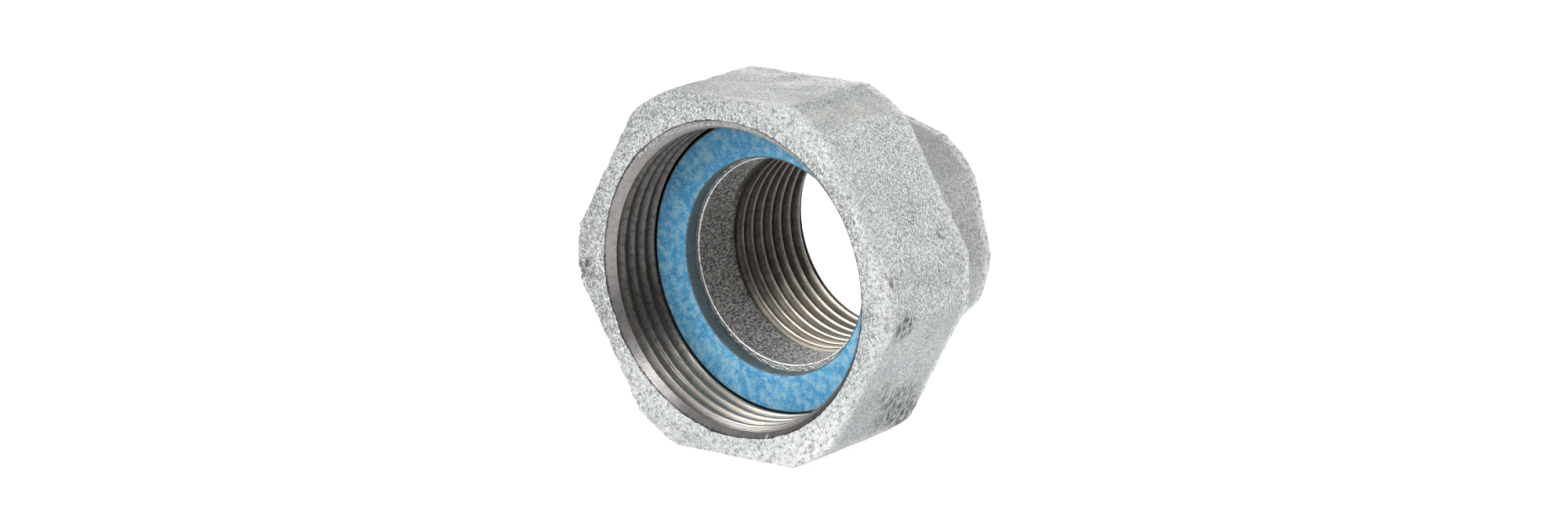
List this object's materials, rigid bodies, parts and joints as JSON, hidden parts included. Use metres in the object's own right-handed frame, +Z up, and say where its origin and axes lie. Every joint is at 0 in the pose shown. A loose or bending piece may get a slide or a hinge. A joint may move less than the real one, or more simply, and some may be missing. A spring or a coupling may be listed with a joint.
{
  "type": "threaded union",
  "caption": "Swivel half of a flat-seat pipe union: loose hexagonal nut with an internal thread, flat gasket and flanged tailpiece with an internal pipe thread.",
  "frame": {"origin": "on the common axis, in the plane of the nut's mouth; the nut lies on one of its flats", "axes": "+Y along the common axis, from the nut's mouth into the fitting and out at the pipe thread; +Z up, square to the flat that the nut lies on; +X to the right, seen from the mouth"},
  "size_m": [0.0578, 0.039, 0.0534],
  "materials": {
    "nut_zinc": "hot-dip galvanized casting, satin and orange-peeled, threads left bare",
    "gasket_fibre": "mottled pale blue compressed fibre sheet, matt",
    "tail_zinc": "hot-dip galvanized casting, satin, dark cast waterway, thread left bare"
  },
  "bodies": {
    "tail": {"tailpiece": "tail_zinc", "gasket": "gasket_fibre"},
    "nut": {"union_nut": "nut_zinc"}
  },
  "joints": [
    {"name": "nut_spin", "type": "hinge", "parent": "tail", "child": "nut", "pos_m": [0, 0.0185, 0], "axis": [0, 1, 0], "continuous": true}
  ]
}
